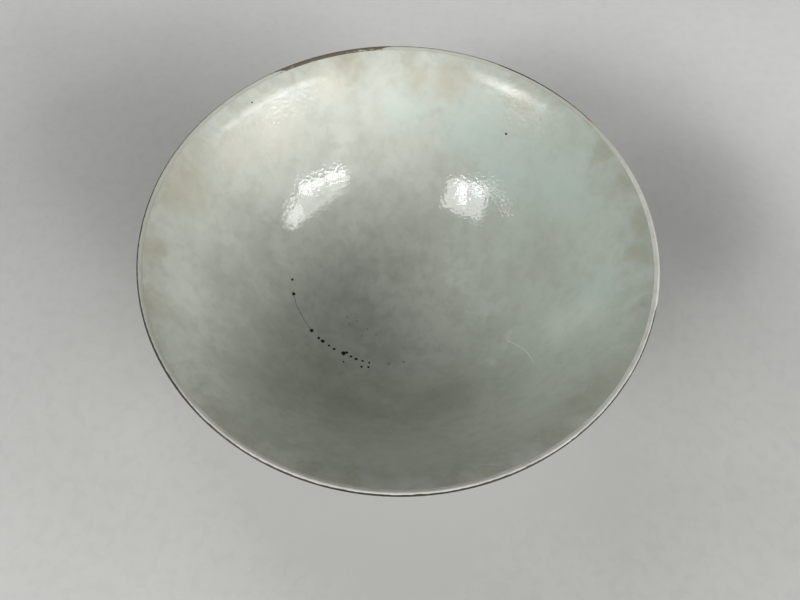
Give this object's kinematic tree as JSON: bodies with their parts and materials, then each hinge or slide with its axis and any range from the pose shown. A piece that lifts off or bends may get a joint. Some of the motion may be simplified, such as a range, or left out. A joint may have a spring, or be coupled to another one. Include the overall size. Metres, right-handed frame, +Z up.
{
  "type": "bowl",
  "caption": "Deep porcelain bowl with a rounded floor, a straight rising wall and a flared thin lip with a worn brown edge, on a turned foot.",
  "frame": {"origin": "middle of the foot's standing face, on the surface that the bowl stands on", "axes": "+Z up along the bowl's axis of turning, +X to the right and +Y away as the picture sees it"},
  "size_m": [0.2, 0.2, 0.087],
  "materials": {
    "porcelain": "fired white paste, matte, seen only where a coat is missing",
    "biscuit": "bare fired paste on the standing edge, dry, slightly gritty, flushed orange beside the glaze",
    "clear_glaze": "glossy clear glaze over white paste, faintly grey-green, clouded, with iron specks and one stained hairline",
    "iron_dressing": "thin iron-brown wash on the lip, glossy, rubbed through to pale glaze in places"
  },
  "bodies": {
    "root": {"porcelain_body": "porcelain", "foot_ring": "biscuit", "inside_glaze": "clear_glaze", "outside_glaze": "clear_glaze", "base_glaze": "clear_glaze", "lip_band": "iron_dressing"}
  },
  "joints": []
}
